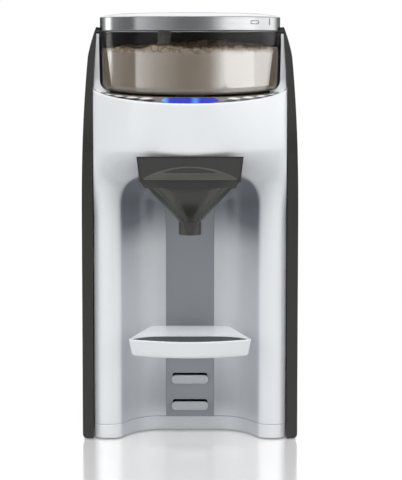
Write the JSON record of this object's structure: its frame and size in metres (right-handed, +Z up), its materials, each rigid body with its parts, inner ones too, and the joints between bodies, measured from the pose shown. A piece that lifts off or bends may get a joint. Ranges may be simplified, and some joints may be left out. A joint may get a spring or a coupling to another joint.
{
  "type": "baby formula maker",
  "caption": "Countertop baby formula maker: smoke powder container with silver lid on a white body with dark side panels, funnel and bottle tray in a front bay, water tank behind.",
  "frame": {"origin": "on the counter, under the middle of the machine's box", "axes": "+Z up, front (bottle bay) towards -Y, +X to the right seen from the front"},
  "size_m": [0.189, 0.3, 0.3783],
  "materials": {
    "white_shell": "glossy white moulding",
    "pale_grey_plastic": "satin pale grey",
    "dark_panel": "satin dark brown-grey",
    "black_plastic": "glossy black",
    "silver_lid": "brushed silver film over plastic",
    "steel": "plain machined steel",
    "smoke_container": "clear smoke tint",
    "dark_smoke": "dark smoke tint",
    "clear_plastic": "clear",
    "silicone": "light grey silicone",
    "rubber": "black rubber",
    "tray_rubber": "dark grey mat",
    "acetal": "milky plastic",
    "blue_light": "lit light guide",
    "circuit_board": "green board"
  },
  "bodies": {
    "housing": {"front_shell": "white_shell", "base_skirt": "white_shell", "left_side_panel": "dark_panel", "right_side_panel": "dark_panel", "base_plate": "pale_grey_plastic", "front_left_foot": "rubber", "front_right_foot": "rubber", "rear_left_foot": "rubber", "rear_right_foot": "rubber", "base_screw_1": "steel", "base_screw_2": "steel", "base_screw_3": "steel", "base_screw_4": "steel", "rear_cover": "dark_panel", "cord_gland": "black_plastic", "rear_screw_1": "steel", "rear_screw_2": "steel", "container_cradle": "white_shell", "container_collar": "black_plastic", "status_light": "blue_light", "gearbox_plate": "steel", "drive_motor": "steel", "powder_chute": "acetal", "funnel_dock": "pale_grey_plastic", "bay_slot_plate": "white_shell", "tank_seat": "pale_grey_plastic", "water_pump": "black_plastic", "water_heater": "steel", "tank_hose": "clear_plastic", "pump_hose": "clear_plastic", "nozzle_hose": "clear_plastic", "water_nozzle": "acetal", "power_board": "circuit_board", "control_bezel": "black_plastic", "display_window": "dark_smoke", "control_board": "circuit_board"},
    "container": {"powder_container": "smoke_container"},
    "lid_carrier": {"lid_seal": "silicone"},
    "lid": {"container_lid": "silver_lid"},
    "dosing": {"dosing_wheel": "acetal", "stirrer": "acetal"},
    "spindle": {"drive_spindle": "steel", "spindle_gear": "acetal"},
    "pinion": {"motor_pinion": "steel"},
    "tank": {"water_tank": "smoke_container", "valve_gasket": "rubber", "tank_hinge_pin": "steel"},
    "tank_cover": {"tank_lid": "dark_panel"},
    "valve": {"tank_valve": "acetal"},
    "funnel_drawer": {"funnel": "dark_smoke", "funnel_cover": "clear_plastic"},
    "tray": {"bottle_tray": "white_shell", "tray_mat": "tray_rubber"},
    "power_button_body": {"power_button": "pale_grey_plastic"},
    "start_button_body": {"start_button": "pale_grey_plastic"},
    "minus_button_body": {"minus_button": "pale_grey_plastic"},
    "temperature_button_body": {"temperature_button": "pale_grey_plastic"},
    "plus_button_body": {"plus_button": "pale_grey_plastic"}
  },
  "joints": [
    {"name": "container_lift", "type": "slide", "parent": "housing", "child": "container", "axis": [0, 0, 1], "range_m": [0, 0.07]},
    {"name": "lid_lift", "type": "slide", "parent": "container", "child": "lid_carrier", "axis": [0, 0, 1], "range_m": [0, 0.06]},
    {"name": "lid_twist", "type": "hinge", "parent": "lid_carrier", "child": "lid", "pos_m": [0, -0.05, 0.365], "axis": [0, 0, 1], "range_deg": [0, 25]},
    {"name": "wheel_spin", "type": "hinge", "parent": "container", "child": "dosing", "pos_m": [0, -0.05, 0.314], "axis": [0, 0, 1], "continuous": true},
    {"name": "spindle_spin", "type": "hinge", "parent": "housing", "child": "spindle", "pos_m": [0, -0.05, 0.29], "axis": [0, 0, 1], "continuous": true},
    {"name": "motor_spin", "type": "hinge", "parent": "housing", "child": "pinion", "pos_m": [0, -0.026, 0.289], "axis": [0, 0, 1], "continuous": true},
    {"name": "tank_lift", "type": "slide", "parent": "housing", "child": "tank", "axis": [0, 0, 1], "range_m": [0, 0.18]},
    {"name": "tank_lid_hinge", "type": "hinge", "parent": "tank", "child": "tank_cover", "pos_m": [0, 0.1374, 0.3639], "axis": [1, 0, 0], "range_deg": [-100, 0]},
    {"name": "tank_valve_slide", "type": "slide", "parent": "tank", "child": "valve", "axis": [0, 0, -1], "range_m": [0, 0.0028], "stiffness_N_per_m": 60},
    {"name": "funnel_slide", "type": "slide", "parent": "housing", "child": "funnel_drawer", "axis": [0, -1, 0], "range_m": [0, 0.09]},
    {"name": "tray_pull", "type": "slide", "parent": "housing", "child": "tray", "axis": [0, -1, 0], "range_m": [0, 0.03]},
    {"name": "power_press", "type": "slide", "parent": "housing", "child": "power_button_body", "axis": [-1, 0, 0], "range_m": [0, 0.001], "stiffness_N_per_m": 300},
    {"name": "start_press", "type": "slide", "parent": "housing", "child": "start_button_body", "axis": [-1, 0, 0], "range_m": [0, 0.001], "stiffness_N_per_m": 300},
    {"name": "minus_press", "type": "slide", "parent": "housing", "child": "minus_button_body", "axis": [-1, 0, 0], "range_m": [0, 0.001], "stiffness_N_per_m": 300},
    {"name": "temperature_press", "type": "slide", "parent": "housing", "child": "temperature_button_body", "axis": [-1, 0, 0], "range_m": [0, 0.001], "stiffness_N_per_m": 300},
    {"name": "plus_press", "type": "slide", "parent": "housing", "child": "plus_button_body", "axis": [-1, 0, 0], "range_m": [0, 0.001], "stiffness_N_per_m": 300}
  ],
  "couplings": [
    {"joint": "spindle_spin", "follows": "wheel_spin", "ratio": 1},
    {"joint": "motor_spin", "follows": "wheel_spin", "ratio": -3}
  ]
}
